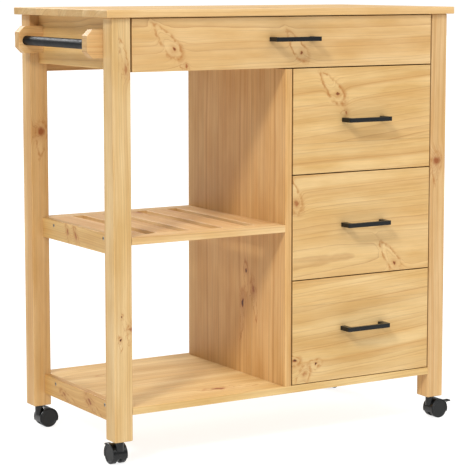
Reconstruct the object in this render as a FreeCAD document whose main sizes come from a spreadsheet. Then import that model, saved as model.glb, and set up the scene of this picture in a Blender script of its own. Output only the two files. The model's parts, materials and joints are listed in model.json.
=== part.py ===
import FreeCAD, Part
import Sketcher
import os
import re

# Kitchen island cart in knotty pine: open bay on the left, four drawers, towel bar, four swivel casters.
# +X is the cart's right, -Y its front, +Z up. Z = 0 is the floor. X = 0 is midway between the left and
# right legs, and the front faces of the legs stand at frontY, which puts the origin at the middle of
# the whole footprint, drawer pulls included.

doc = FreeCAD.newDocument("KitchenIslandCart")
vector = FreeCAD.Vector
axisX, axisY, axisZ = vector(1, 0, 0), vector(0, 1, 0), vector(0, 0, 1)

# Driving dimensions, in millimetres and degrees.
dimensions = {
    # frame
    "frontY": -193, "totalHeight": 900,
    "legSection": 40, "legSpanX": 810, "legSpanY": 410, "legFoot": 50, "legEdge": 2.5,
    "topLength": 838, "topDepth": 424, "topThickness": 15, "topEdge": 1.6, "topFrontOverhang": 7,
    "boardThickness": 15, "boardEdge": 0.8, "apronDepth": 101.5, "apronInset": 20.5,
    "rearApronDepth": 120, "rearApronThickness": 12, "railDepth": 41,
    "lowerShelfTop": 117.5, "middleShelfTop": 456.5, "crossRailWidth": 37, "slatWidth": 51,
    "partitionLeft": -7, "partitionTop": 777, "partitionSetback": 12, "backThickness": 5,
    # towel bar
    "bracketHeight": 56, "bracketThickness": 22, "bracketReach": 54.5, "bracketCorner": 12.5,
    "bracketFoot": 806, "barDrop": 1.7, "barRadius": 9.8, "barInset": 17, "barHoleDepth": 12,
    "barHoleClearance": 0.1,
    # screws in the left side rails
    "screwHeadRadius": 4, "screwHeadDepth": 2.4, "screwShankRadius": 1.9, "screwLength": 38,
    "screwSink": 0.6, "screwDrop": 11, "screwSpacing": 225, "screwSocketRadius": 2.3, "screwSocketDepth": 1.8,
    # drawers
    "frontThickness": 15, "frontSideGap": 3.5, "deepFrontHeight": 217.5, "deepFrontTop": 776.75,
    "deepPitch": 220, "topFrontFoot": 779.25, "topFrontGap": 2,
    "boxSideGap": 3, "boxSide": 12, "boxRise": 22, "boxLength": 345, "deepBoxHeight": 150,
    "topBoxHeight": 64, "boxBottom": 5, "boxBottomRise": 6,
    "runnerHeight": 15, "runnerWidth": 18, "runnerGap": 0.6, "runnerFrontGap": 4, "runnerLength": 372,
    "handleLength": 109, "handleReach": 31, "handleHeight": 9, "handleBar": 8, "handleFoot": 12,
    "handleCorner": 3, "handleEdge": 0.8, "topHandleShift": 7.5, "topHandleLift": 7,
    # casters
    "wheelRadius": 20, "wheelWidth": 11.5, "wheelInner": 4.5, "wheelBevel": 1.3, "wheelDish": 0.8,
    "wheelRim": 15.2, "casterTrail": 16.5, "axleRadius": 2.5, "axleHalf": 13.2, "axleEndGap": 0.3,
    "hoodRadius": 21.8, "hoodInner": 20.6, "hoodHalf": 16, "hoodSkirt": 12.5, "hoodBevel": 0.5,
    "webHalf": 4, "webRadius": 16,
    "bossRadius": 8.5, "bossFoot": 28, "bossTop": 48, "stemRadius": 4, "stemFoot": 36, "stemTop": 83,
    "socketRadius": 5.5, "socketLength": 34.5, "flangeRadius": 8.5, "flangeThickness": 1,
    "leverX": 38.6, "leverZ": 32.3, "leverReach": 15.4, "leverHalf": 6, "leverThickness": 3,
    "knuckleRadius": 2.4, "lugRadius": 2.9, "lugGap": 6.3, "lugThickness": 3, "lugRoot": 6.8,
    "leverPinRadius": 1.2,
    # the clearance of turning parts, and how far cutting tools reach past a face
    "runningFit": 0.06, "spare": 1,
}
casterTurns = {"front_left": 90, "front_right": 0, "rear_left": 0, "rear_right": 205}
brakedCasters = ("front_left", "front_right")
slatCount = 5

sheet = doc.addObject("Spreadsheet::Sheet", "Dimensions")
for row, (alias, value) in enumerate(dimensions.items(), start=1):
    sheet.set(f"A{row}", alias)
    sheet.set(f"B{row}", str(value))
    sheet.setAlias(f"B{row}", alias)
doc.recompute()

# Heights and sides that many sub-parts share, as formulas of the dimensions.
innerX = "(legSpanX / 2 - legSection)"
rearY = "(frontY + legSpanY)"
betweenLegs = "(legSpanY - 2 * legSection)"
underTop = "(totalHeight - topThickness)"
partitionRight = "(partitionLeft + boardThickness)"
insideY = f"({rearY} - partitionSetback)"
frontBack = "(frontY + frontThickness)"

nodes = []


def formula(text):
    # Each word is an alias of the sheet.
    return re.sub(r"[A-Za-z]\w*", lambda word: "Dimensions." + word.group(0), text)


def number(text):
    return float(sheet.evalExpression(formula(text)))


def bind(thing, **sizes):
    for name, text in sizes.items():
        thing.setExpression(name, formula(text))
    return thing


def putAt(thing, corner):
    for letter, text in zip("xyz", corner):
        thing.setExpression(f"Placement.Base.{letter}", formula(text))
    return thing


def keep(thing, label):
    # A kept object is a node: its Label names its file.
    thing.Label = label
    nodes.append(thing)
    return thing


def outline(body, name, role, points):
    # A closed outline of straight sides on one of the body's own origin planes, every corner bound
    # to the sheet. The corners are pairs of formulas.
    sketch = body.newObject("Sketcher::SketchObject", name)
    plane = next(item for item in body.Origin.OriginFeatures if item.Role == role)
    sketch.AttachmentSupport = [(plane, "")]
    sketch.MapMode = "FlatFace"
    corners = [vector(number(across), number(up), 0) for across, up in points]
    count = len(corners)
    for index in range(count):
        side = Part.LineSegment(corners[index], corners[(index + 1) % count])
        sketch.addGeometry(side, False)
    for index in range(count):
        following = (index + 1) % count
        sketch.addConstraint(Sketcher.Constraint("Coincident", index, 2, following, 1))
    for index, (across, up) in enumerate(points):
        pairs = (("DistanceX", across, corners[index].x), ("DistanceY", up, corners[index].y))
        for kind, text, size in pairs:
            made = sketch.addConstraint(Sketcher.Constraint(kind, -1, 1, index, 1, size))
            title = f"corner{index}{kind[-1]}"
            sketch.renameConstraint(made, title)
            sketch.setExpression(f"Constraints.{title}", formula(text))
    return sketch


def pad(body, name, sketch, length, edge=None, backwards=False):
    raised = body.newObject("PartDesign::Pad", name)
    raised.Profile = sketch
    raised.Reversed = backwards
    bind(raised, Length=length)
    if edge:
        doc.recompute()
        soft = body.newObject("PartDesign::Fillet", name + "Edges")
        soft.Base = (raised, [""])
        soft.UseAllEdges = True
        bind(soft, Radius=edge)
        return soft
    return raised


def revolve(body, name, sketch):
    turned = body.newObject("PartDesign::Revolution", name)
    turned.Profile = sketch
    turned.ReferenceAxis = (sketch, ["V_Axis"])
    turned.Angle = 360
    return turned


def board(name, corner, size, edge="boardEdge"):
    # A flat board with softened edges: corner is its lowest corner, size runs along X, Y and Z.
    body = doc.addObject("PartDesign::Body", name)
    long, deep, high = size
    shape = outline(body, name + "Outline", "XY_Plane", [("0", "0"), (long, "0"), (long, deep), ("0", deep)])
    pad(body, name + "Board", shape, high, edge)
    return putAt(body, corner)


def cylinder(name, radius, height, base=vector(0, 0, 0), axis=axisZ):
    part = doc.addObject("Part::Cylinder", name)
    bind(part, Radius=radius, Height=height)
    part.Placement = FreeCAD.Placement(base, FreeCAD.Rotation(axisZ, axis))
    return part


def box(name, corner, size):
    part = doc.addObject("Part::Box", name)
    bind(part, Length=size[0], Width=size[1], Height=size[2])
    return putAt(part, corner)


def cut(name, base, tool):
    part = doc.addObject("Part::Cut", name)
    part.Base = base
    part.Tool = tool
    return part


def fuse(name, pieces):
    part = doc.addObject("Part::MultiFuse", name)
    part.Shapes = pieces
    return part


def group(name, pieces):
    part = doc.addObject("Part::Compound", name)
    part.Links = pieces
    return part



def makeTop():
    corner = ("-topLength / 2", "frontY - topFrontOverhang", underTop)
    top = board("Tabletop", corner, ("topLength", "topDepth", "topThickness"), "topEdge")
    keep(top, "tabletop")


def makeLegs():
    # Each leg has a blind hole up its foot for the socket of a caster.
    sides = {"left": "-legSpanX / 2", "right": innerX}
    ends = {"front": "frontY", "rear": f"{rearY} - legSection"}
    for end, y in ends.items():
        for side, x in sides.items():
            name = f"Leg{end.title()}{side.title()}"
            size = ("legSection", "legSection", f"{underTop} - legFoot")
            leg = board(name, (x, y, "legFoot"), size, "legEdge")
            hole = leg.newObject("Sketcher::SketchObject", name + "HoleSketch")
            plane = next(item for item in leg.Origin.OriginFeatures if item.Role == "XY_Plane")
            hole.AttachmentSupport = [(plane, "")]
            hole.MapMode = "FlatFace"
            half = number("legSection / 2")
            ring = Part.Circle(vector(half, half, 0), axisZ, number("socketRadius"))
            hole.addGeometry(ring, False)
            sizes = (("DistanceX", "legSection / 2"), ("DistanceY", "legSection / 2"))
            for kind, text in sizes:
                made = hole.addConstraint(Sketcher.Constraint(kind, -1, 1, 0, 3, half))
                hole.renameConstraint(made, "centre" + kind[-1])
                hole.setExpression("Constraints.centre" + kind[-1], formula(text))
            made = hole.addConstraint(Sketcher.Constraint("Radius", 0, number("socketRadius")))
            hole.renameConstraint(made, "bore")
            hole.setExpression("Constraints.bore", formula("socketRadius + runningFit"))
            drilled = leg.newObject("PartDesign::Pocket", name + "Hole")
            drilled.Profile = hole
            drilled.Reversed = True
            bind(drilled, Length="socketLength + spare")
            keep(leg, f"leg_{end}_{side}")


def makeAprons():
    # The left apron hangs between the left legs, the rear one between the rear legs.
    low = f"{underTop} - apronDepth"
    corner = ("-legSpanX / 2 + apronInset", "frontY + legSection", low)
    left = board("ApronLeft", corner, ("boardThickness", betweenLegs, "apronDepth"))
    keep(left, "apron_left")
    corner = (f"-{innerX}", f"{rearY} - rearApronThickness", f"{underTop} - rearApronDepth")
    rear = board("ApronRear", corner, (f"2 * {innerX}", "rearApronThickness", "rearApronDepth"))
    keep(rear, "apron_rear")


def makePanels():
    # The side panel ends flush with the lower shelf's underside, so its foot is out of sight from the front.
    foot = "(lowerShelfTop - boardThickness)"
    size = ("boardThickness", betweenLegs, f"{underTop} - {foot}")
    side = board("SidePanel", (innerX, "frontY + legSection", foot), size)
    keep(side, "side_panel_right")
    size = ("boardThickness", "legSpanY - partitionSetback", "partitionTop - lowerShelfTop")
    partition = board("Partition", ("partitionLeft", "frontY", "lowerShelfTop"), size)
    keep(partition, "partition")
    corner = (partitionRight, f"{insideY} - backThickness", "lowerShelfTop")
    size = (f"{innerX} - {partitionRight}", "backThickness", "partitionTop - lowerShelfTop")
    back = board("BackPanel", corner, size, None)
    keep(back, "back_panel")


def makeScrews():
    # Countersunk screws with hexagon sockets, through the left side rails into the ends of the shelves.
    # Returns the plain screws and the mouths of their holes, which cut the boards.
    screws = []
    tools = []
    middle = number("frontY + legSpanY / 2")
    face = number(f"-{innerX} - boardThickness")
    for level in ("lowerShelfTop", "middleShelfTop"):
        for side in (-1, 1):
            title = f"Screw{level[:5].title()}{'Front' if side < 0 else 'Rear'}"
            y = middle + side * number("screwSpacing / 2")
            z = number(f"{level} - screwDrop")
            at = vector(face + number("screwSink"), y, z)
            head = doc.addObject("Part::Cone", title + "Head")
            bind(head, Radius1="screwHeadRadius", Radius2="screwShankRadius", Height="screwHeadDepth")
            head.Placement = FreeCAD.Placement(at, FreeCAD.Rotation(axisZ, axisX))
            shank = cylinder(title + "Shank", "screwShankRadius", "screwLength", at, axisX)
            plain = fuse(title + "Plain", [head, shank])
            socket = doc.addObject("Part::Prism", title + "Socket")
            socket.Polygon = 6
            bind(socket, Circumradius="screwSocketRadius", Height="screwSocketDepth")
            socket.Placement = head.Placement
            screws.append(cut(title, plain, socket))
            mouth = vector(face - number("spare"), y, z)
            tools.append(plain)
            tools.append(cylinder(title + "Mouth", "screwHeadRadius", "screwSink + spare", mouth, axisX))
    keep(group("FrameScrews", screws), "frame_screws")
    return tools


def makeShelves():
    tools = fuse("ScrewHoles", makeScrews())
    railX = f"-{innerX} - boardThickness"
    for place, level in (("lower", "lowerShelfTop"), ("middle", "middleShelfTop")):
        title = "Rail" + place.title()
        corner = (railX, "frontY + legSection", f"{level} - railDepth")
        plain = board(title + "Plain", corner, ("boardThickness", betweenLegs, "railDepth"))
        keep(cut(title, plain, tools), f"{place}_side_rail")
    corner = (f"-{innerX}", "frontY", "lowerShelfTop - boardThickness")
    plain = board("LowerShelfPlain", corner, (f"2 * {innerX}", "legSpanY", "boardThickness"))
    keep(cut("LowerShelf", plain, tools), "lower_shelf")

    # The middle shelf: two flat cross rails, and slats with even gaps between them.
    low = "middleShelfTop - boardThickness"
    span = f"(partitionLeft + {innerX})"
    rails = []
    for title, y in (("CrossRailFront", "frontY"), ("CrossRailRear", f"{insideY} - crossRailWidth")):
        rails.append(board(title, (f"-{innerX}", y, low), (span, "crossRailWidth", "boardThickness")))
    keep(group("CrossRails", rails), "middle_cross_rails")
    slats = []
    pitch = f"({span} - slatWidth) / {slatCount - 1}"
    length = f"{insideY} - frontY - 2 * crossRailWidth"
    for index in range(slatCount):
        corner = (f"-{innerX} + {index} * {pitch}", "frontY + crossRailWidth", low)
        slat = board(f"Slat{index + 1}", corner, ("slatWidth", length, "boardThickness"))
        slats.append(cut("SlatEnd", slat, tools) if index == 0 else slat)
    keep(group("Slats", slats), "middle_slats")


def makeTowelBar():
    bar = doc.addObject("Part::Cylinder", "TowelBar")
    inside = f"({betweenLegs} - 2 * bracketThickness)"
    bind(bar, Radius="barRadius", Height=f"{inside} + 2 * barHoleDepth")
    lowY = number("frontY + legSection + bracketThickness - barHoleDepth")
    outerX = "-legSpanX / 2 + apronInset - bracketReach"
    barX = number(f"{outerX} + barInset")
    barZ = number("bracketFoot + bracketHeight / 2 - barDrop")
    bar.Placement = FreeCAD.Placement(vector(barX, lowY, barZ), FreeCAD.Rotation(axisZ, axisY))
    keep(bar, "towel_bar")
    hole = cylinder("BarHole", "barRadius + barHoleClearance", f"{inside} + 2 * barHoleDepth",
                    vector(barX, lowY, barZ), axisY)
    profile = [
        ("bracketCorner", "0"), ("bracketReach", "0"), ("bracketReach", "bracketHeight"),
        ("bracketCorner", "bracketHeight"), ("0", "bracketHeight - bracketCorner"), ("0", "bracketCorner"),
    ]
    brackets = []
    places = {"Front": "frontY + legSection", "Rear": f"{rearY} - legSection - bracketThickness"}
    for end, y in places.items():
        body = doc.addObject("PartDesign::Body", f"Bracket{end}Block")
        sketch = outline(body, f"Bracket{end}Outline", "XZ_Plane", profile)
        pad(body, f"Bracket{end}Pad", sketch, "bracketThickness", "boardEdge", backwards=True)
        putAt(body, (outerX, y, "bracketFoot"))
        brackets.append(cut(f"Bracket{end}", body, hole))
    keep(group("Brackets", brackets), "towel_brackets")



def makeDrawer(name, left, right, frontFoot, frontHeight, boxHeight, handleShift="0", handleLift="0"):
    # left and right are the walls of the drawer's bay. The front is flush with the legs.
    title = name.title().replace("_", "")
    corner = (f"{left} + frontSideGap", "frontY", frontFoot)
    size = (f"{right} - {left} - 2 * frontSideGap", "frontThickness", frontHeight)
    keep(board(title + "Front", corner, size), f"{name}_front")

    boxLeft = f"({left} + boxSideGap)"
    boxRight = f"({right} - boxSideGap)"
    boxFoot = f"({frontFoot} + boxRise)"
    size = ("boxSide", "boxLength", boxHeight)
    sides = [
        board(title + "SideLeft", (boxLeft, frontBack, boxFoot), size),
        board(title + "SideRight", (f"{boxRight} - boxSide", frontBack, boxFoot), size),
    ]
    keep(group(title + "Sides", sides), f"{name}_sides")
    inside = f"({boxRight} - {boxLeft} - 2 * boxSide)"
    corner = (f"{boxLeft} + boxSide", f"{frontBack} + boxLength - boxSide", boxFoot)
    keep(board(title + "Back", corner, (inside, "boxSide", boxHeight)), f"{name}_back")
    corner = (f"{boxLeft} + boxSide", frontBack, f"{boxFoot} + boxBottomRise")
    size = (inside, "boxLength - boxSide", "boxBottom")
    keep(board(title + "Bottom", corner, size, None), f"{name}_bottom")

    # The pull is a square-section bar on two feet.
    body = doc.addObject("PartDesign::Body", title + "Handle")
    far = "handleLength"
    profile = [
        ("0", "handleReach"), ("0", "handleCorner"), ("handleCorner", "0"), (f"{far} - handleCorner", "0"),
        (far, "handleCorner"), (far, "handleReach"), (f"{far} - handleFoot", "handleReach"),
        (f"{far} - handleFoot", "handleBar"), ("handleFoot", "handleBar"), ("handleFoot", "handleReach"),
    ]
    sketch = outline(body, title + "HandleOutline", "XY_Plane", profile)
    pad(body, title + "HandlePad", sketch, "handleHeight", "handleEdge")
    x = f"({left} + {right}) / 2 + {handleShift} - handleLength / 2"
    z = f"{frontFoot} + {frontHeight} / 2 + {handleLift} - handleHeight / 2"
    putAt(body, (x, "frontY - handleReach", z))
    keep(body, f"{name}_handle")


def makeDrawers():
    topHeight = f"({underTop} - topFrontGap - topFrontFoot)"
    makeDrawer("drawer_top", f"(-{innerX})", innerX, "topFrontFoot", topHeight, "topBoxHeight",
               "topHandleShift", "topHandleLift")
    runners = []
    leftX = "(-legSpanX / 2 + apronInset + boardThickness)"
    wide = f"runnerWidth - {leftX} - {innerX}"
    low = "topFrontFoot + boxRise - runnerGap - runnerHeight"
    y = "frontY + legSection"
    runners.append(board("RunnerTopLeft", (leftX, y, low), (wide, betweenLegs, "runnerHeight")))
    size = ("runnerWidth", betweenLegs, "runnerHeight")
    runners.append(board("RunnerTopRight", (f"{innerX} - runnerWidth", y, low), size))
    for index, name in enumerate(("drawer_upper", "drawer_middle", "drawer_lower")):
        foot = f"(deepFrontTop - deepFrontHeight - {index} * deepPitch)"
        makeDrawer(name, partitionRight, innerX, foot, "deepFrontHeight", "deepBoxHeight")
        low = f"{foot} + boxRise - runnerGap - runnerHeight"
        size = ("runnerWidth", "runnerLength", "runnerHeight")
        y = f"{frontBack} + runnerFrontGap"
        for side, x in (("Left", partitionRight), ("Right", f"{innerX} - runnerWidth")):
            runners.append(board(f"Runner{index + 1}{side}", (x, y, low), size))
    keep(group("Runners", runners), "drawer_runners")


# In a caster's own frame the stem is on the Z axis, the floor is Z = 0, and the wheels trail along +X.

def casterPlace(name):
    end, side = name.split("_")
    x = number("legSpanX / 2 - legSection / 2") * (1 if side == "right" else -1)
    y = number("frontY + legSection / 2") if end == "front" else number(f"{rearY} - legSection / 2")
    return FreeCAD.Placement(vector(x, y, 0), FreeCAD.Rotation(axisZ, casterTurns[name]))


def makeCover(title, axle):
    # A drum on the axle with bevelled rims, still solid.
    body = doc.addObject("PartDesign::Body", title + "Cover")
    rim, half = "(hoodRadius - hoodBevel)", "(hoodHalf - hoodBevel)"
    profile = [
        ("0", "-hoodHalf"), (rim, "-hoodHalf"), ("hoodRadius", f"-{half}"), ("hoodRadius", half),
        (rim, "hoodHalf"), ("0", "hoodHalf"),
    ]
    revolve(body, title + "CoverTurned", outline(body, title + "CoverSection", "XY_Plane", profile))
    body.Placement = FreeCAD.Placement(axle, FreeCAD.Rotation())
    return body


def makeHood(title, braked):
    # A cover over the tops of both wheels, a web between them, and a boss for the stem.
    axle = vector(number("casterTrail"), 0, number("wheelRadius"))

    def across(name, radius, half, centre=axle):
        base = centre - axisY * number(half)
        return cylinder(title + name, radius, f"2 * ({half})", base, axisY)

    solids = [
        makeCover(title, axle),
        cylinder(title + "Boss", "bossRadius", "bossTop - bossFoot", axisZ * number("bossFoot")),
    ]
    lever = vector(number("leverX"), 0, number("leverZ"))
    if braked:
        for index, side in enumerate((-1, 1)):
            low = "lugGap" if side > 0 else "-lugGap - lugThickness"
            base = lever + axisY * number(low)
            solids.append(cylinder(f"{title}LugEye{index}", "lugRadius", "lugThickness", base, axisY))
            corner = ("leverX - lugRoot", low, "leverZ - lugRadius")
            size = ("lugRoot", "lugThickness", "2 * lugRadius")
            solids.append(box(f"{title}Lug{index}", corner, size))
    outer = fuse(title + "Outer", solids)
    openings = [box(title + "Skirt", ("-hoodRadius", "-2 * hoodHalf", "hoodSkirt - 2 * wheelRadius"),
                    ("4 * hoodRadius", "4 * hoodHalf", "2 * wheelRadius"))]
    for index, low in enumerate(("webHalf", "-2 * hoodHalf")):
        base = axle + axisY * number(low)
        openings.append(cylinder(f"{title}Pocket{index}", "hoodInner", "2 * hoodHalf - webHalf", base, axisY))
    covers = cut(title + "Covers", outer, fuse(title + "Openings", openings))
    web = across("Web", "webRadius", "webHalf")
    holes = [
        cylinder(title + "StemHole", "stemRadius", "bossTop", axisZ * number("stemFoot")),
        across("AxleHole", "axleRadius", "hoodHalf"),
    ]
    if braked:
        holes.append(across("LeverPinHole", "leverPinRadius", "hoodHalf", lever))
    return cut(title + "Hood", fuse(title + "Solid", [covers, web]), fuse(title + "Holes", holes))


def makePins(title, braked):
    # The steel stem and axle, and the pin of the brake lever.
    pins = [
        cylinder(title + "Stem", "stemRadius", "stemTop - stemFoot", axisZ * number("stemFoot")),
        cylinder(title + "Axle", "axleRadius", "2 * axleHalf",
                 vector(number("casterTrail"), -number("axleHalf"), number("wheelRadius")), axisY),
    ]
    if braked:
        base = vector(number("leverX"), -number("lugGap + lugThickness"), number("leverZ"))
        pinLength = "2 * (lugGap + lugThickness)"
        pins.append(cylinder(title + "LeverPin", "leverPinRadius", pinLength, base, axisY))
    return group(title + "Pins", pins)


def makeWheel(title):
    # Half of a section through the wheel, turned about the axle: a bevelled tread, a dished outer face
    # and a blind bore from the inner face.
    body = doc.addObject("PartDesign::Body", title)
    bore = "axleRadius + runningFit"
    rim = "wheelRadius"
    outer = "(wheelInner + wheelWidth)"
    profile = [
        (bore, "wheelInner"), (f"{rim} - wheelBevel", "wheelInner"), (rim, "wheelInner + wheelBevel"),
        (rim, f"{outer} - wheelBevel"), (f"{rim} - wheelBevel", outer), ("wheelRim + wheelDish", outer),
        ("wheelRim", f"{outer} - wheelDish"), ("0", f"{outer} - wheelDish"), ("0", "axleHalf + axleEndGap"),
        (bore, "axleHalf + axleEndGap"),
    ]
    revolve(body, title + "Turned", outline(body, title + "Section", "XY_Plane", profile))
    return body


def makeLever(title):
    # A pedal on a knuckle. Its own frame has the pin on the Y axis.
    end = -axisY * number("leverHalf")
    knuckle = cylinder(title + "Knuckle", "knuckleRadius", "2 * leverHalf", end, axisY)
    plate = box(title + "Plate", ("0", "-leverHalf", "-leverThickness / 2"),
                ("leverReach", "2 * leverHalf", "leverThickness"))
    bore = cylinder(title + "Bore", "leverPinRadius + runningFit", "4 * leverHalf",
                    -axisY * number("2 * leverHalf"), axisY)
    return cut(title, fuse(title + "Solid", [knuckle, plate]), bore)


def makeCasters():
    sockets = []
    socketProfile = [
        ("stemRadius + runningFit", "-flangeThickness"), ("flangeRadius", "-flangeThickness"),
        ("flangeRadius", "0"), ("socketRadius", "0"), ("socketRadius", "socketLength"),
        ("stemRadius + runningFit", "socketLength"),
    ]
    for name in casterTurns:
        title = "Caster" + name.title().replace("_", "")
        place = casterPlace(name)
        braked = name in brakedCasters
        hood = makeHood(title, braked)
        pins = makePins(title, braked)
        doc.recompute()
        hood.Placement = place
        pins.Placement = place
        keep(hood, f"caster_{name}_hood")
        keep(pins, f"caster_{name}_pins")
        axle = FreeCAD.Placement(vector(number("casterTrail"), 0, number("wheelRadius")), FreeCAD.Rotation())
        for mark, turn in (("a", 0), ("b", 180)):
            wheel = makeWheel(title + "Wheel" + mark.upper())
            wheel.Placement = place * axle * FreeCAD.Placement(vector(), FreeCAD.Rotation(axisZ, turn))
            keep(wheel, f"caster_{name}_wheel_{mark}")
        if braked:
            lever = makeLever(title + "Lever")
            doc.recompute()
            at = FreeCAD.Placement(vector(number("leverX"), 0, number("leverZ")), FreeCAD.Rotation())
            lever.Placement = place * at
            keep(lever, f"caster_{name}_lever")
        body = doc.addObject("PartDesign::Body", title + "Socket")
        section = outline(body, title + "SocketSection", "XZ_Plane", socketProfile)
        revolve(body, title + "SocketTurned", section)
        body.Placement = FreeCAD.Placement(place.Base + axisZ * number("legFoot"), FreeCAD.Rotation())
        sockets.append(body)
    keep(group("CasterSockets", sockets), "caster_sockets")


makeTop()
makeLegs()
makeAprons()
makePanels()
makeShelves()
makeTowelBar()
makeDrawers()
makeCasters()
doc.recompute()

# Checks, then one file for each node.
for thing in doc.Objects:
    if "Invalid" in thing.State or "Error" in thing.State:
        raise RuntimeError(f"{thing.Name} did not compute: {thing.State}")
for node in nodes:
    if node.Shape.isNull() or not node.Shape.isValid():
        raise RuntimeError(f"{node.Label} has no valid shape")

os.makedirs("parts", exist_ok=True)
for node in nodes:
    node.Shape.exportStep(f"parts/{node.Label}.step")
    bounds = node.Shape.BoundBox
    low = f"{bounds.XMin:8.1f} {bounds.YMin:8.1f} {bounds.ZMin:7.1f}"
    high = f"{bounds.XMax:8.1f} {bounds.YMax:8.1f} {bounds.ZMax:7.1f}"
    volume = node.Shape.Volume / 1000
    print(f"{node.Label:28s} {len(node.Shape.Solids)} solids {volume:9.2f} cm3  {low}  {high}")
print(len(nodes), "nodes")
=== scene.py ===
import functools
import json
import math

import bpy
import numpy as np
from mathutils import Euler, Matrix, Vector


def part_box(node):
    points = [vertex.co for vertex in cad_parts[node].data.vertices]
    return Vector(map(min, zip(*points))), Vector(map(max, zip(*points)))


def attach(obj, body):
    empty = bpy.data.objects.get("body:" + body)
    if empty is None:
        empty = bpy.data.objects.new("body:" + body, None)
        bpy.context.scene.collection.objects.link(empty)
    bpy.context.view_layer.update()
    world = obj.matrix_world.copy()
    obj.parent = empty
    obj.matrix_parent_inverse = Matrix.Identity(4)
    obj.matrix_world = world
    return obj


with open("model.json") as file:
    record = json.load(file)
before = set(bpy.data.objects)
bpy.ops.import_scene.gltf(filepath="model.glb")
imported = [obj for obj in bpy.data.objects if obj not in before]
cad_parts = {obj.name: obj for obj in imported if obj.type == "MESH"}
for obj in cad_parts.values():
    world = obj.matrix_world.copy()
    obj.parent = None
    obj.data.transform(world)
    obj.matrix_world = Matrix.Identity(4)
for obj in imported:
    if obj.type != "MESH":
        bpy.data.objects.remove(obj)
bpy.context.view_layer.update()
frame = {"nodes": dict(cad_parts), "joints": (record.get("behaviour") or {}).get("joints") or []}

# Kitchen island cart: boards of knotty pine under a thin matt lacquer, black pulls and towel bar, and
# twin-wheel casters. Sizes are in metres, unless a name or a comment says millimetres.

nodes = frame["nodes"]
joints = {joint["name"]: joint for joint in frame["joints"]}
mm = 0.001
print("frame:", len(nodes), "nodes")


def linear(hexColour):
    # sRGB hex to linear light, by the sRGB curve.
    channels = [int(hexColour[i:i + 2], 16) / 255 for i in (1, 3, 5)]
    return [c / 12.92 if c <= 0.04045 else ((c + 0.055) / 1.055) ** 2.4 for c in channels] + [1.0]


def addNode(tree, kind, inputs=None, **settings):
    # Adds a shader node: settings are its properties, inputs its values or the nodes that feed it.
    node = tree.nodes.new("ShaderNode" + kind)
    for name, value in settings.items():
        setattr(node, name, value)
    for socket, source in (inputs or {}).items():
        if isinstance(source, bpy.types.Node):
            source = next(output for output in source.outputs if output.enabled)
        if isinstance(source, bpy.types.NodeSocket):
            tree.links.new(source, node.inputs[socket])
        else:
            node.inputs[socket].default_value = source
    return node


def addMath(add, operation, *values):
    # A Math node. MULTIPLY_ADD is the first value times the second, plus the third.
    return add("Math", dict(enumerate(values)), operation=operation)


def addVectorMath(add, operation, *values):
    # A Vector Math node, fed the same way.
    return add("VectorMath", dict(enumerate(values)), operation=operation)


def addRange(add, value, old=(0.0, 1.0), new=(0.0, 1.0)):
    # Maps one range of a value onto another, and stops at its ends.
    return add("MapRange", {"Value": value, "From Min": old[0], "From Max": old[1],
                            "To Min": new[0], "To Max": new[1]})


def addBlend(add, part, first, second):
    # Mixes two colours: part 0 is all first and 1 all second.
    return add("Mix", {0: part, 6: first, 7: second}, data_type="RGBA").outputs[2]


def addNoise(add, place, size, detail=3.0, roughness=0.5):
    # Noise with cells of the given size, in mm along, across and through the board.
    cells = addVectorMath(add, "MULTIPLY", place, [1 / length for length in size])
    return add("TexNoise", {"Vector": cells, "Scale": 1.0, "Detail": detail, "Roughness": roughness})


# Sawn and planed pine under a thin matt lacquer: a pale even ground with thin brown lines of late wood,
# amber bands of several years, and small brown knots in drop-shaped loops. Lengths in mm.
pine = {
    "plain": "#CFA76D", "cream": "#DBB783", "honey": "#CCA267", "amber": "#C08F52", "lateWood": "#925B29",
    "rosy": "#AE7338", "pale": "#E3C795", "knotRed": "#985524", "knotDark": "#45260F",
    # the pith: its draw in each stave, its lean, and how it wanders and wiggles
    "staveDraw": (4000, 3000, 5000), "pithDraw": (0, 16, 16), "lean": 0.03,
    "wanderSize": (620, 400, 400), "wander": (0, 24, 34),
    "wiggleSize": (95, 32, 32), "wiggle": (0, 3.2, 3.2),
    # the rings: how far good and poor years move them, and how late wood darkens within one
    "yearsSize": 24, "yearsMove": 4.0, "weakestYear": 0.15, "thinPower": 12.0, "widePower": 1.8,
    "widePart": 0.18, "lateStop": 0.93, "lateStrength": 1.0,
    # bands of several years, soft patches, long streaks and short fibres, and the tones they reach
    "bandRate": 0.31, "bandRange": (0.44, 0.70), "bandPart": 0.62,
    "patchSize": (170, 40, 40), "patchRange": (0.34, 0.66), "noiseRange": (0.3, 0.7),
    "streakSize": (330, 4.5, 4.5), "streakTone": (0.93, 1.06),
    "fibreSize": (22, 0.8, 0.8), "fibreTone": (0.95, 1.05), "staveTone": (0.95, 1.05),
    # the wood inside a knot's loop, end grain, worn edges with a painted highlight, and glue lines
    "leafPart": 0.16, "endFacing": (0.6, 0.9), "endTone": 0.80, "edgeWearAndHighlightTone": 1.08, "edgeCell": 12,
    "edgeReach": (0.4, 3.2), "seamFacing": (0.1, 0.4), "glueWidth": 0.5, "glueDark": 0.36,
    # the lacquer over a slight relief, where late wood stands up and shines more
    "lateRelief": 0.5, "reliefRange": (0.3, 1.0), "relief": 0.12, "reliefStrength": 0.35,
    "roughness": (0.56, 0.44), "endDull": 0.14, "lacquerGloss": 0.38, "lacquerIndex": 1.48,
}


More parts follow.
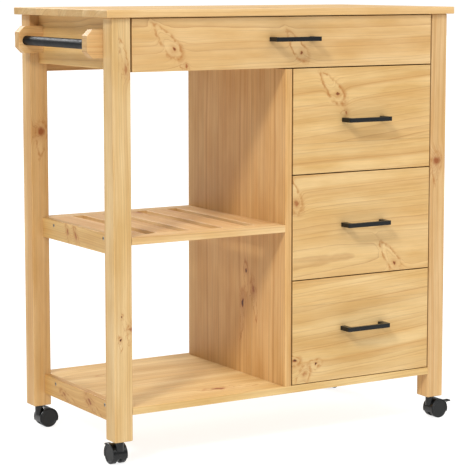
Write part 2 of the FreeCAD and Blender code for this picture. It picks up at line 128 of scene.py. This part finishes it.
def makePineFigure():
    # The grain of one stave: rings round a pith that lies off the face and wanders along the board, so
    # that a face cuts them into lines or arches and an end cuts them into arcs.
    tree = bpy.data.node_groups.new("pineFigure", "ShaderNodeTree")
    for name in ("Grain", "Tint"):
        tree.interface.new_socket(name, in_out="INPUT", socket_type="NodeSocketVector")
    for name in ("Stave", "Seed", "Ring", "Across", "Deep", "Slope", "Lift", "Leaf", "Rim", "Eye", "End",
                 "EdgeWearAndHighlight", "Seam"):
        tree.interface.new_socket(name, in_out="INPUT", socket_type="NodeSocketFloat")
    tree.interface.new_socket("Color", in_out="OUTPUT", socket_type="NodeSocketColor")
    for name in ("Roughness", "Height"):
        tree.interface.new_socket(name, in_out="OUTPUT", socket_type="NodeSocketFloat")
    add = functools.partial(addNode, tree)
    calc = functools.partial(addMath, add)
    vectorCalc = functools.partial(addVectorMath, add)
    given = tree.nodes.new("NodeGroupInput").outputs
    stave, seed = given["Stave"], given["Seed"]

    # Each stave of a glued board is its own piece of timber: its number draws its own figure.
    grain = add("SeparateXYZ", {0: given["Grain"]}).outputs
    staves = calc("DIVIDE", grain["Y"], stave)
    number = calc("FLOOR", staves)
    within = calc("ADD", calc("FRACT", staves), -0.5)
    fromMiddle = calc("MULTIPLY", within, stave)
    pair = add("CombineXYZ", {0: number, 1: seed})
    chance = add("TexWhiteNoise", {"Vector": pair}, noise_dimensions="2D").outputs["Color"]
    chances = add("SeparateXYZ", {0: chance}).outputs
    inStave = add("CombineXYZ", {0: grain["X"], 1: fromMiddle, 2: grain["Z"]})
    place = vectorCalc("MULTIPLY_ADD", chance, pine["staveDraw"], inStave)

    # Distance from the pith, which leans, wanders over half a metre and wiggles over a hand's width.
    wander = addNoise(add, place, pine["wanderSize"], detail=1.0).outputs["Color"]
    wiggle = addNoise(add, place, pine["wiggleSize"], detail=2.0).outputs["Color"]
    pith = add("CombineXYZ", {1: given["Across"], 2: given["Deep"]})
    drawn = vectorCalc("MULTIPLY_ADD", chance, pine["pithDraw"], pith)
    offset = vectorCalc("ADD", inStave, drawn)
    lean = addRange(add, chances["X"], new=(-pine["lean"], pine["lean"]))
    sideways = calc("MULTIPLY", grain["X"], given["Slope"])
    deeper = calc("MULTIPLY", grain["X"], lean)
    leaning = vectorCalc("ADD", offset, add("CombineXYZ", {1: sideways, 2: deeper}))
    bent = vectorCalc("MULTIPLY_ADD", wander, pine["wander"], leaning)
    wavy = vectorCalc("MULTIPLY_ADD", wiggle, pine["wiggle"], bent)
    flat = vectorCalc("MULTIPLY", wavy, (0, 1, 1))
    fromPith = vectorCalc("LENGTH", flat).outputs["Value"]
    lifted = calc("ADD", fromPith, given["Lift"])
    yearsAt = calc("MULTIPLY", lifted, 1 / pine["yearsSize"])
    years = add("TexNoise", {"W": yearsAt, "Scale": 1.0, "Detail": 2.0}, noise_dimensions="1D")
    evenRings = calc("DIVIDE", lifted, given["Ring"])
    rings = calc("MULTIPLY_ADD", years, pine["yearsMove"], evenRings)

    # In each ring the late wood darkens towards its end and stops sharply, and some years are stronger.
    inRing = calc("FRACT", rings)
    ringPair = add("CombineXYZ", {0: calc("FLOOR", rings), 1: seed})
    strength = add("TexWhiteNoise", {"Vector": ringPair}, noise_dimensions="2D").outputs["Value"]
    strong = addRange(add, strength, new=(pine["weakestYear"], 1.0))
    thin = calc("POWER", inRing, pine["thinPower"])
    wide = calc("MULTIPLY_ADD", calc("POWER", inRing, pine["widePower"]), pine["widePart"], thin)
    stop = addRange(add, inRing, old=(pine["lateStop"], 1.0), new=(1.0, 0.0))
    late = calc("MULTIPLY", calc("MULTIPLY", wide, stop), strong)

    # Slow bands of several years, soft patches, long streaks and short fibres.
    bandAt = calc("MULTIPLY", rings, pine["bandRate"])
    band = add("TexNoise", {"W": bandAt, "Scale": 1.0, "Detail": 1.5}, noise_dimensions="1D")
    patch = addNoise(add, place, pine["patchSize"])
    streak = addNoise(add, place, pine["streakSize"], roughness=0.6)
    fibre = addNoise(add, place, pine["fibreSize"], detail=4.0, roughness=0.65)

    ground = addRange(add, patch, old=pine["patchRange"])
    body = addBlend(add, ground, linear(pine["cream"]), linear(pine["honey"]))
    banded = addRange(add, band, old=pine["bandRange"], new=(0.0, pine["bandPart"]))
    warm = addBlend(add, banded, body, linear(pine["amber"]))
    leafPart = calc("MULTIPLY", given["Leaf"], pine["leafPart"])
    leafed = addBlend(add, leafPart, warm, linear(pine["pale"]))
    lateMix = calc("MULTIPLY", late, pine["lateStrength"])
    ringed = addBlend(add, lateMix, leafed, linear(pine["lateWood"]))
    streaked = addRange(add, streak, old=pine["noiseRange"], new=pine["streakTone"])
    fibred = addRange(add, fibre, old=pine["noiseRange"], new=pine["fibreTone"])
    toned = addRange(add, chances["Z"], new=pine["staveTone"])
    shade = calc("MULTIPLY", calc("MULTIPLY", streaked, fibred), toned)
    timber = add("VectorMath", {0: ringed, "Scale": shade}, operation="SCALE")

    # Knots: a rosy outline round the loop, then red wood, then a dark eye.
    rimmed = addBlend(add, given["Rim"], timber, linear(pine["rosy"]))
    red = addBlend(add, addRange(add, given["Eye"], old=(0.0, 0.5)), rimmed, linear(pine["knotRed"]))
    dark = addBlend(add, addRange(add, given["Eye"], old=(0.5, 1.0)), red, linear(pine["knotDark"]))

    # End grain drinks the lacquer and goes darker, sanded edges are paler (wear, together with a painted
    # highlight where the rounded edges catch light), and a glue line is thin and dark.
    endTone = addRange(add, given["End"], new=(1.0, pine["endTone"]))
    edgeWearAndHighlightTone = addRange(add, given["EdgeWearAndHighlight"], new=(1.0, pine["edgeWearAndHighlightTone"]))
    offCentre = calc("MULTIPLY", calc("ABSOLUTE", within), stave)
    toJoint = calc("SUBTRACT", calc("MULTIPLY", stave, 0.5), offCentre)
    glueLine = addRange(add, toJoint, old=(0.0, pine["glueWidth"]), new=(pine["glueDark"], 0.0))
    glue = calc("SUBTRACT", 1.0, calc("MULTIPLY", glueLine, given["Seam"]))
    glued = calc("MULTIPLY", calc("MULTIPLY", endTone, edgeWearAndHighlightTone), glue)
    even = add("VectorMath", {0: dark, "Scale": glued}, operation="SCALE")
    final = vectorCalc("MULTIPLY", even, given["Tint"])

    height = calc("MULTIPLY_ADD", late, pine["lateRelief"], fibre)
    glossy = addRange(add, height, old=pine["reliefRange"], new=pine["roughness"])
    dull = calc("MULTIPLY_ADD", given["End"], pine["endDull"], glossy)
    results = tree.nodes.new("NodeGroupOutput").inputs
    tree.links.new(final.outputs[0], results["Color"])
    tree.links.new(dull.outputs[0], results["Roughness"])
    tree.links.new(height.outputs[0], results["Height"])


# How every knot is drawn from its own sizes. Lengths in mm, the rest are parts of the loop or the eye.
knotLook = {
    "ragCell": 13, "rag": 6, "eyePlace": 0.42, "taper": (0.5, 1.5), "inside": (0.46, 0.56),
    "outline": 0.44, "outlineWidth": 0.2, "outlineRange": (0.35, 0.6), "outlinePatches": (0.05, 0.92),
    "eyeSlender": 0.4, "collarRate": 0.4, "collarHump": 1.6, "collarTone": 0.5, "pupil": (0.55, 1.25),
    "throughBoard": 1e5,
}


def addKnots(add, grain, knots):
    # Each knot lifts the rings round it by a bell, e to minus the squared distance, wider at the eye's end,
    # so that they close into a drop-shaped loop with a rosy outline. The eye is an ellipse along the loop,
    # two fifths as slender, in a collar that is a bell too. Mm from the board's low corner.
    calc = functools.partial(addMath, add)
    vectorCalc = functools.partial(addVectorMath, add)
    rag, depth = knotLook["rag"], knotLook["throughBoard"]
    ragged = add("TexNoise", {"Vector": grain, "Scale": 1 / knotLook["ragCell"], "Detail": 3.0})
    near = vectorCalc("MULTIPLY_ADD", ragged.outputs["Color"], (2 * rag, 2 * rag, 0), grain)
    level = vectorCalc("SUBTRACT", near, (rag, rag, 0))
    patchy = addRange(add, ragged, old=knotLook["outlineRange"], new=knotLook["outlinePatches"])
    lift, leaf, rim, eye = 0.0, 0.0, 0.0, 0.0
    for along, across, length, width, turn, hump, radius, tone in knots:
        angle = math.radians(turn)
        middle = (along - math.cos(angle) * length * knotLook["eyePlace"],
                  across - math.sin(angle) * length * knotLook["eyePlace"], 0)
        swirl = add("Mapping", {"Vector": level, "Location": middle, "Rotation": (0, 0, angle),
                                "Scale": (length, width, depth)}, vector_type="TEXTURE")
        swirls = add("SeparateXYZ", {0: swirl}).outputs
        taper = addRange(add, swirls["X"], old=(-1.0, 1.0), new=knotLook["taper"])
        drop = add("CombineXYZ", {0: swirls["X"], 1: calc("DIVIDE", swirls["Y"], taper)})
        square = vectorCalc("DOT_PRODUCT", drop, drop).outputs["Value"]
        bell = calc("POWER", math.exp(-1), square)
        lift = calc("MULTIPLY_ADD", bell, hump, lift)
        leaf = calc("MAXIMUM", leaf, addRange(add, bell, old=knotLook["inside"]))
        offOutline = calc("ABSOLUTE", calc("SUBTRACT", bell, knotLook["outline"]))
        outline = addRange(add, offOutline, old=(0.0, knotLook["outlineWidth"]), new=(patchy, 0.0))
        rim = calc("MAXIMUM", rim, outline)
        stretch = knotLook["eyeSlender"] * length / width
        centred = add("Mapping", {"Vector": level, "Location": (along, across, 0), "Rotation": (0, 0, angle),
                                  "Scale": (radius * stretch, radius, depth)}, vector_type="TEXTURE")
        away = vectorCalc("LENGTH", centred).outputs["Value"]
        collarSquare = calc("POWER", calc("MULTIPLY", away, knotLook["collarRate"]), 2.0)
        collar = calc("POWER", math.exp(-1), collarSquare)
        lift = calc("MULTIPLY_ADD", collar, radius * knotLook["collarHump"], lift)
        rim = calc("MAXIMUM", rim, calc("MULTIPLY", collar, knotLook["collarTone"]))
        eye = calc("MAXIMUM", eye, addRange(add, away, old=knotLook["pupil"], new=(tone, 0.0)))
    return lift, leaf, rim, eye


def addEdgeWearAndHighlight(add, plain, inMillimetres, size):
    # Wear and a painted highlight along the edges, 1 at an edge: the middle one of a point's three distances
    # to the board's faces is its distance to an edge, and noise sets how far the wear and the painted
    # highlight reach.
    calc = functools.partial(addMath, add)
    centred = addVectorMath(add, "SUBTRACT", inMillimetres, size / 2)
    folded = addVectorMath(add, "ABSOLUTE", centred)
    depths = add("SeparateXYZ", {0: addVectorMath(add, "SUBTRACT", size / 2, folded)}).outputs
    smaller = calc("MINIMUM", depths["X"], depths["Y"])
    larger = calc("MAXIMUM", depths["X"], depths["Y"])
    toEdge = calc("MAXIMUM", smaller, calc("MINIMUM", larger, depths["Z"]))
    wearAndHighlightNoise = add("TexNoise", {"Vector": plain, "Scale": 1 / pine["edgeCell"], "Detail": 3.0})
    nearest, farthest = pine["edgeReach"]
    return addRange(add, toEdge, old=(nearest, calc("MULTIPLY", wearAndHighlightNoise, farthest)), new=(1.0, 0.0))


def makePine(node, along, across, seed, stave=400, start=0, ring=5.0, pith=(45, 40), slope=0.0,
             tone=pine["plain"], knots=(), boxed=True):
    # Lacquered pine for one board: grain along one axis, staves side by side along another. start moves
    # the staves, pith is where the rings' centre lies off the face, slope tilts the lines, in mm a mm.
    material = bpy.data.materials.new("lacqueredPine_" + node)
    material.use_nodes = True
    tree = material.node_tree
    tree.nodes.clear()
    add = functools.partial(addNode, tree)
    low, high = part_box(node)
    through = ({"X", "Y", "Z"} - {along, across}).pop()
    size = (high - low) / mm

    coords = add("TexCoord").outputs
    fromCorner = addVectorMath(add, "SUBTRACT", coords["Object"], low)
    inMillimetres = add("VectorMath", {0: fromCorner, "Scale": 1 / mm}, operation="SCALE")
    parts = add("SeparateXYZ", {0: inMillimetres}).outputs
    plain = add("CombineXYZ", {0: parts[along], 1: parts[across], 2: parts[through]})
    grain = addVectorMath(add, "ADD", plain, (0, start, 0))
    lift, leaf, rim, eye = addKnots(add, plain, knots) if knots else (0.0, 0.0, 0.0, 0.0)

    # End grain shows where the normal lies along the board, and glue lines where it doesn't lie across it.
    normals = add("SeparateXYZ", {0: coords["Normal"]}).outputs
    end = addRange(add, addMath(add, "ABSOLUTE", normals[along]), old=pine["endFacing"])
    sideways = addMath(add, "ABSOLUTE", normals[across])
    seam = addRange(add, sideways, old=pine["seamFacing"], new=(1.0, 0.0))
    # Paler edges: sanding wear, with a painted highlight where the rounded edges catch light.
    edge = addEdgeWearAndHighlight(add, plain, inMillimetres, size) if boxed else 0.0

    figure = tree.nodes.new("ShaderNodeGroup")
    figure.node_tree = bpy.data.node_groups["pineFigure"]
    tint = [wanted / usual for wanted, usual in zip(linear(tone)[:3], linear(pine["plain"]))]
    fed = {"Grain": grain, "Tint": tint, "Stave": stave, "Seed": seed, "Ring": ring, "Across": pith[0],
           "Deep": pith[1], "Slope": -slope, "Lift": lift, "Leaf": leaf, "Rim": rim, "Eye": eye, "End": end,
           "EdgeWearAndHighlight": edge, "Seam": seam}
    for name, source in fed.items():
        if isinstance(source, bpy.types.Node):
            tree.links.new(source.outputs[0], figure.inputs[name])
        else:
            figure.inputs[name].default_value = source
    bump = add("Bump", {"Height": figure.outputs["Height"], "Strength": pine["reliefStrength"],
                        "Distance": pine["relief"] * mm})
    surface = add("BsdfPrincipled", {"Base Color": figure.outputs["Color"], "Normal": bump,
                                     "Roughness": figure.outputs["Roughness"], "IOR": pine["lacquerIndex"],
                                     "Specular IOR Level": pine["lacquerGloss"]})
    add("OutputMaterial", {"Surface": surface})
    return material


def dress(node, material):
    # Puts one material on a whole CAD node.
    mesh = nodes[node].data
    mesh.materials.clear()
    mesh.materials.append(material)


# The draw of each board, in mm. Knots are (along, across, loop length, loop width, turn, hump, eye radius,
# eye tone): a tone of 0.5 is red and 1 is dark.
boards = {
    "tabletop": dict(
        tone="#D1AC71", along="X", across="Y", seed=3, stave=106, ring=6, pith=(20, 45),
        knots=[(120, 310, 40, 14, 20, 12, 6, 0.6), (402, 75, 55, 18, -15, 14, 7, 0.8),
               (690, 190, 34, 12, 35, 10, 5, 0.7), (560, 372, 28, 10, 5, 8, 4, 1.0)]),
    "leg_front_left": dict(
        tone="#C6A56D", along="Z", across="X", seed=11, ring=4, pith=(48, 30),
        knots=[(251, 18, 12, 3, 4, 4, 1.6, 1.0), (205, 12, 16, 4, -6, 5, 2.0, 1.0),
               (226, 38, 22, 9, 8, 8, 5, 0.45), (735, 30, 46, 7, 168, 7, 4, 0.3)]),
    "leg_front_right": dict(
        tone="#C29D67", along="Z", across="X", seed=12, ring=4, pith=(-60, 25),
        knots=[(520, 16, 36, 13, 4, 9, 9, 0.5)]),
    "leg_rear_left": dict(
        tone="#C09A62", along="Z", across="X", seed=13, ring=4, pith=(44, 40),
        knots=[(590, 24, 40, 13, 3, 9, 7.5, 0.5)]),
    "leg_rear_right": dict(
        tone="#C29D67", along="Z", across="X", seed=14, ring=4, pith=(-50, 45),
        knots=[(300, 20, 30, 8, -5, 9, 5, 0.6)]),
    "apron_left": dict(
        tone="#D6AE6C", along="Y", across="Z", seed=21, ring=6, pith=(60, 40),
        knots=[(85, 58, 40, 14, 10, 9, 4, 0.4)]),
    "apron_rear": dict(
        tone="#C8A067", along="X", across="Z", seed=22, ring=6, pith=(50, 40),
        knots=[(210, 52, 40, 14, 15, 10, 6, 0.6), (560, 70, 30, 10, -20, 9, 5, 0.9)]),
    "side_panel_right": dict(
        tone="#C8A068", along="Z", across="Y", seed=23, stave=112, ring=6, pith=(25, 45),
        knots=[(180, 70, 44, 13, -10, 12, 7, 0.7), (520, 250, 40, 12, 8, 12, 6, 0.9),
               (690, 150, 36, 10, 5, 10, 5, 0.5)]),
    "partition": dict(
        tone="#C89C5E", along="Z", across="Y", seed=24, stave=133, ring=4.5, pith=(75, 35),
        knots=[(224, 154, 40, 8, 3, 8, 3.0, 1.0), (152, 167, 56, 9, -5, 9, 4.0, 1.0),
               (188, 124, 50, 10, 10, 9, 5, 0.4)]),
    "lower_shelf": dict(
        tone="#D1AE6F", along="X", across="Y", seed=25, stave=108, ring=6, pith=(40, 40),
        knots=[(232, 59, 70, 12, 175, 10, 6.5, 0.62), (540, 240, 46, 15, 10, 10, 6, 0.7),
               (130, 300, 44, 13, 5, 10, 4, 0.3)]),
    "lower_side_rail": dict(
        tone="#B88E50", along="Y", across="Z", seed=31, ring=4, pith=(50, 30),
        knots=[(120, 24, 46, 10, 25, 10, 4.5, 0.45), (236, 16, 40, 8, 12, 7, 3, 0.35)]),
    "middle_side_rail": dict(
        tone="#C49C5C", along="Y", across="Z", seed=32, ring=4, pith=(50, 30),
        knots=[(175, 20, 44, 7, 60, 8, 3.6, 0.45), (212, 24, 40, 7, 62, 8, 3.2, 0.5)]),
    "drawer_top_front": dict(
        tone="#C6A168", along="X", across="Z", seed=41, ring=9, pith=(75, 45), slope=0.05,
        knots=[(92, 43, 48, 16, -48, 17, 3.2, 0.75), (120, 9, 10, 6, 0, 5, 4, 0.45),
               (392, 31, 42, 14, -52, 15, 3.4, 0.7)]),
    "drawer_upper_front": dict(
        tone="#C6A165", along="X", across="Z", seed=42, stave=160, start=98, ring=9, pith=(130, 60),
        slope=0.06, knots=[(110, 162, 48, 16, -48, 17, 3.2, 0.75), (131, 124, 10, 6, 0, 5, 4, 0.45)]),
    "drawer_middle_front": dict(
        tone="#C7A368", along="X", across="Z", seed=43, ring=9, pith=(150, 60), slope=0.06,
        knots=[(260, 17, 48, 15, -52, 16, 3.2, 0.75), (8, 160, 46, 15, -70, 13, 5, 0.4)]),
    "drawer_lower_front": dict(
        tone="#C9A569", along="X", across="Z", seed=44, stave=170, start=7, ring=9, pith=(-160, 70),
        slope=0.06, knots=[(5, 50, 30, 10, 0, 9, 3.2, 0.95), (59, 39, 26, 9, 10, 8, 2.4, 1.0),
                           (30, 20, 40, 14, 60, 10, 4, 0.25)]),
    # Nodes that hold several boards: the staves are set to fall in the gaps between them.
    "middle_slats": dict(
        tone="#C8A066", along="Y", across="X", seed=51, stave=76.75, start=12.9, ring=5, boxed=False,
        knots=[(300, 200, 40, 9, 5, 8, 6, 0.5), (292, 285, 44, 12, 0, 8, 7, 0.45),
               (60, 60, 40, 10, 8, 8, 5, 0.4)]),
    "middle_cross_rails": dict(
        tone="#C8A46C", along="X", across="Y", seed=52, stave=199, ring=5, boxed=False),
    "towel_brackets": dict(along="X", across="Y", seed=53, stave=165, ring=4, boxed=False),
    "drawer_runners": dict(along="Y", across="X", seed=54, stave=60, boxed=False),
    # Thin pine-faced board behind the drawers.
    "back_panel": dict(tone="#BF9862", along="Z", across="X", seed=91, ring=6),
}
for index, drawer in enumerate(("top", "upper", "middle", "lower")):
    boards[f"drawer_{drawer}_sides"] = dict(along="Y", across="Z", seed=61 + index, ring=6, boxed=False)
    boards[f"drawer_{drawer}_back"] = dict(along="X", across="Z", seed=71 + index, ring=6)
    boards[f"drawer_{drawer}_bottom"] = dict(along="X", across="Y", seed=81 + index, ring=7)
makePineFigure()
for node, draw in boards.items():
    dress(node, makePine(node, **draw))
print("pine:", len(boards), "boards dressed")


# What all the coats and mouldings share. Lengths in mm.
coat = {"slowCell": 14, "noiseRange": (0.3, 0.7), "tone": (0.88, 1.12), "bump": 0.4}


def makeCoated(name, colour, roughness, metallic=0.0, peel=0.6, depth=0.03, variation=0.06, specular=0.5):
    # A painted, plated or moulded surface: a fine skin of bumps, peel mm apart, and slow changes of sheen.
    material = bpy.data.materials.new(name)
    material.use_nodes = True
    tree = material.node_tree
    tree.nodes.clear()
    add = functools.partial(addNode, tree)
    where = add("TexCoord").outputs["Object"]
    skin = add("TexNoise", {"Vector": where, "Scale": 1 / (peel * mm), "Detail": 2.0})
    slow = add("TexNoise", {"Vector": where, "Scale": 1 / (coat["slowCell"] * mm), "Detail": 3.0})
    sheens = (roughness - variation, roughness + variation)
    sheen = addRange(add, slow, old=coat["noiseRange"], new=sheens)
    tone = addRange(add, slow, old=coat["noiseRange"], new=coat["tone"])
    tinted = add("VectorMath", {0: linear(colour)[:3], "Scale": tone}, operation="SCALE")
    bump = add("Bump", {"Height": skin, "Strength": coat["bump"], "Distance": depth * mm})
    surface = add("BsdfPrincipled", {"Base Color": tinted, "Roughness": sheen, "Metallic": metallic,
                                     "Specular IOR Level": specular, "Normal": bump})
    add("OutputMaterial", {"Surface": surface})
    return material


# Powder coat on the tube is a dull black, and on the pulls a satin black with a faint orange peel.
tubeCoat = makeCoated("powderCoatedTube", "#0D0F10", 0.46, peel=0.5, specular=0.09)
powderCoat = makeCoated("powderCoatedSteel", "#141617", 0.32, peel=0.5, specular=0.24)
# Moulded nylon is smooth and black with a low gloss, the wheels' polypropylene is duller and greyer.
nylon = makeCoated("mouldedNylon", "#0E0F10", 0.26, peel=0.9, depth=0.02, specular=0.4)
wheelPlastic = makeCoated("mouldedPolypropylene", "#1B1C1C", 0.48, peel=0.8, specular=0.3)
# Zinc plate is bright and slightly yellow.
zinc = makeCoated("zincPlatedSteel", "#A9A8A2", 0.32, metallic=1.0, peel=0.4)
dress("towel_bar", tubeCoat)
dress("frame_screws", zinc)
dress("caster_sockets", zinc)
for node in nodes:
    if node.endswith("_handle"):
        dress(node, powderCoat)
    if node.endswith("_hood") or node.endswith("_lever"):
        dress(node, nylon)
    if node.endswith("_pins"):
        dress(node, zinc)
    if "_wheel_" in node:
        dress(node, wheelPlastic)
print("metal and plastic dressed")


def closedSkin(name, shells):
    # A closed mesh of one or more shells. Each shell is a grid of points, rings one way and round the
    # other, and its two poles: quads join neighbours on the grid and fans close the ends.
    points, faces, first = [], [], 0
    for rings, foot, tip in shells:
        count, around = rings.shape[:2]
        index = first + np.arange(count * around).reshape(count, around)
        after = np.roll(index, -1, axis=1)
        quads = np.stack([index[:-1], after[:-1], after[1:], index[1:]], axis=-1).reshape(-1, 4)
        footFan = np.stack([after[0], index[0], np.full(around, first + index.size)], axis=-1)
        tipFan = np.stack([index[-1], after[-1], np.full(around, first + index.size + 1)], axis=-1)
        points.append(np.vstack([rings.reshape(-1, 3), foot, tip]))
        faces += quads.tolist() + footFan.tolist() + tipFan.tolist()
        first += index.size + 2
    mesh = bpy.data.meshes.new(name)
    mesh.from_pydata(np.vstack(points).tolist(), [], faces)
    mesh.shade_smooth()
    piece = bpy.data.objects.new(name, mesh)
    bpy.context.scene.collection.objects.link(piece)
    return piece


# Pan-head machine screws that hold a pull, on the inside of its drawer front. Lengths in mm.
pullScrew = {"head": 4.2, "height": 2.3, "edge": 0.7, "slot": 0.55, "slotReach": 2.6, "slotDepth": 1.3,
             "slotFade": 0.2, "footInset": 6.0, "rings": 24, "around": 72}


def screwShell(centre, forward):
    # A pan head: its height falls with the square of the radius, less a cross-shaped recess whose depth
    # fades over a fifth of a millimetre, and a short wall closes it to the board. forward is unit length.
    innermost = 0.04
    radii = np.concatenate([[1.0], np.linspace(1.0, innermost, pullScrew["rings"])]) * pullScrew["head"]
    turn = np.linspace(0, 2 * np.pi, pullScrew["around"], endpoint=False)
    radius, angle = np.meshgrid(radii, turn, indexing="ij")
    x, y = radius * np.cos(angle), radius * np.sin(angle)
    dome = pullScrew["height"] - (pullScrew["height"] - pullScrew["edge"]) * (radius / pullScrew["head"]) ** 2
    side = np.minimum(np.abs(x), np.abs(y)) - pullScrew["slot"]
    reach = np.maximum(np.abs(x), np.abs(y)) - pullScrew["slotReach"]
    recess = np.clip(0.5 - np.maximum(side, reach) / pullScrew["slotFade"], 0, 1)
    z = dome - recess * pullScrew["slotDepth"]
    z[0] = 0
    right = np.array([1.0, 0.0, 0.0])
    up = np.cross(forward, right)
    grid = centre + (x[..., None] * right + y[..., None] * up + z[..., None] * forward) * mm
    tipHeight = (pullScrew["height"] - pullScrew["slotDepth"]) * mm
    return grid, np.asarray(centre), centre + forward * tipHeight


for drawer in ("top", "upper", "middle", "lower"):
    pullLow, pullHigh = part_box(f"drawer_{drawer}_handle")
    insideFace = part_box(f"drawer_{drawer}_front")[1][1]
    inset = pullScrew["footInset"] * mm
    level = (pullLow[2] + pullHigh[2]) / 2
    shells = [screwShell(np.array([x, insideFace, level]), np.array([0.0, 1.0, 0.0]))
              for x in (pullLow[0] + inset, pullHigh[0] - inset)]
    screws = closedSkin(f"drawer_{drawer}_pull_screws", shells)
    screws.data.materials.append(zinc)
    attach(screws, f"drawer_{drawer}")

# Moulded grip ribs across the end of each brake lever. Lengths in mm.
gripRib = {"count": 3, "pitch": 2.6, "fromTip": 2.2, "halfLength": 4.6, "halfWidth": 0.75, "rise": 0.6,
           "plate": 3.0, "fullness": 6, "rings": 25, "around": 20}


def ribShell(middle, sideways, outwards):
    # A long bead: an ellipse across, whose size is the root of one less a high power of the way along.
    travel = np.linspace(-1, 1, gripRib["rings"])[1:-1]
    turn = np.linspace(0, 2 * np.pi, gripRib["around"], endpoint=False)
    position, angle = np.meshgrid(travel, turn, indexing="ij")
    swell = (1 - position ** gripRib["fullness"]) ** 0.5
    across = gripRib["halfWidth"] * swell * np.cos(angle)
    up = gripRib["rise"] * swell * np.sin(angle)
    along = gripRib["halfLength"] * position
    upwards = np.cross(sideways, outwards)
    section = across[..., None] * outwards + up[..., None] * upwards
    grid = middle + (along[..., None] * sideways + section) * mm
    end = sideways * gripRib["halfLength"] * mm
    return grid, middle - end, middle + end


for caster in ("front_left", "front_right"):
    lever = f"caster_{caster}_lever"
    joint = joints[lever + "_tip"]
    stem = joints[f"caster_{caster}_swivel"]
    pin = np.array(joint["pos_m"])
    outwards = pin - np.array(stem["pos_m"])
    outwards[2] = 0
    outwards /= np.linalg.norm(outwards)
    upwards = np.array([0.0, 0.0, 1.0])
    sideways = np.cross(outwards, upwards)
    low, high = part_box(lever)
    tipReach = np.abs((np.where(outwards > 0.5, high, low) - pin) @ outwards)
    top = pin[2] + gripRib["plate"] / 2 * mm
    shells = []
    for index in range(gripRib["count"]):
        reach = tipReach - (gripRib["fromTip"] + index * gripRib["pitch"]) * mm
        middle = pin + outwards * reach
        middle[2] = top
        shells.append(ribShell(middle, sideways, outwards))
    ribs = closedSkin(lever + "_ribs", shells)
    ribs.data.materials.append(nylon)
    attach(ribs, lever)
print("fittings made")


# White acrylic table lit from below and a white dome that only the camera sees, a soft sky, and four suns
# with large discs. Turns are degrees from the front towards +X, powers are irradiance over pi.
studio = {
    "tableRadius": 28.0, "tableColour": "#9A9A9A", "tableGlow": 0.78, "domeGlow": 1.05, "skyStrength": 0.33,
    "around": 64, "tableRings": 9, "domeRings": 17, "domePart": 0.99,
    "suns": {
        "frontWindow": {"turn": 2, "rise": 48, "power": 0.44, "disc": 60},
        "leftWindow": {"turn": -57, "rise": 38, "power": 0.54, "disc": 11},
        "backWindow": {"turn": 180, "rise": 24, "power": 0.9, "disc": 30},
        "rightWindow": {"turn": 80, "rise": 30, "power": 0.3, "disc": 60},
    },
    "cameraPlace": (-2.0547, -3.3369, 0.9594), "cameraTurn": 31.492, "cameraTilt": 6.774,
    "lens": 141.0, "shift": -0.08,
}


def glowing(name, colour, glow, strength):
    # Plain diffuse paint or acrylic that also glows.
    material = bpy.data.materials.new(name)
    material.use_nodes = True
    material.cycles.emission_sampling = "NONE"
    surface = material.node_tree.nodes["Principled BSDF"]
    surface.inputs["Base Color"].default_value = linear(colour)
    surface.inputs["Roughness"].default_value = 1.0
    surface.inputs["Specular IOR Level"].default_value = 0.0
    surface.inputs["Emission Color"].default_value = linear(glow)
    surface.inputs["Emission Strength"].default_value = strength
    return material


def makeStage():
    # The table is a disc and the dome half a sphere, both as rings of points at a radius and a height.
    radius = studio["tableRadius"]
    turn = np.linspace(0, 2 * np.pi, studio["around"], endpoint=False)
    slant = np.linspace(0, np.pi / 2, studio["domeRings"])
    disc = np.linspace(0, 1, studio["tableRings"])
    domePart = studio["domePart"]
    acrylic = glowing("litAcrylic", studio["tableColour"], "#FFFFFF", studio["tableGlow"])
    dome = glowing("whiteDome", "#000000", "#FFFFFF", studio["domeGlow"])
    profiles = {
        "studioTable": (disc * radius, disc * 0, acrylic),
        "studioDome": (np.cos(slant) * radius * domePart, np.sin(slant) * radius * domePart, dome),
    }
    for name, (radii, heights, material) in profiles.items():
        rings = np.stack([radii[:, None] * np.cos(turn), radii[:, None] * np.sin(turn),
                          heights[:, None] + 0 * turn], axis=-1)
        index = np.arange(rings.shape[0] * len(turn)).reshape(rings.shape[:2])
        after = np.roll(index, -1, axis=1)
        quads = np.stack([index[:-1], index[1:], after[1:], after[:-1]], axis=-1).reshape(-1, 4)
        mesh = bpy.data.meshes.new(name)
        mesh.from_pydata(rings.reshape(-1, 3).tolist(), [], quads.tolist())
        mesh.materials.append(material)
        thing = bpy.data.objects.new(name, mesh)
        bpy.context.scene.collection.objects.link(thing)
        if name == "studioDome":
            for ray in ("diffuse", "glossy", "transmission", "shadow"):
                setattr(thing, "visible_" + ray, False)


def makeStudio():
    scene = bpy.context.scene
    scene.view_settings.view_transform = "Standard"
    world = bpy.data.worlds.new("softSky")
    world.use_nodes = True
    background = world.node_tree.nodes["Background"]
    background.inputs["Color"].default_value = (1.0, 1.0, 1.0, 1.0)
    background.inputs["Strength"].default_value = studio["skyStrength"]
    scene.world = world
    makeStage()

    for name, sun in studio["suns"].items():
        turn, rise = math.radians(sun["turn"]), math.radians(sun["rise"])
        toSun = Vector((math.sin(turn) * math.cos(rise), -math.cos(turn) * math.cos(rise), math.sin(rise)))
        light = bpy.data.lights.new(name, "SUN")
        light.energy = sun["power"] * math.pi
        light.angle = math.radians(sun["disc"])
        lamp = bpy.data.objects.new(name, light)
        lamp.rotation_euler = toSun.to_track_quat("Z", "Y").to_euler()
        scene.collection.objects.link(lamp)

    camera = bpy.data.cameras.new("view")
    camera.lens = studio["lens"]
    camera.shift_y = studio["shift"]
    camera.clip_end = 100.0
    eye = bpy.data.objects.new("view", camera)
    eye.location = studio["cameraPlace"]
    tilt = math.radians(90 - studio["cameraTilt"])
    eye.rotation_euler = Euler((tilt, 0.0, -math.radians(studio["cameraTurn"])))
    scene.collection.objects.link(eye)
    scene.camera = eye


makeStudio()
print("studio set")
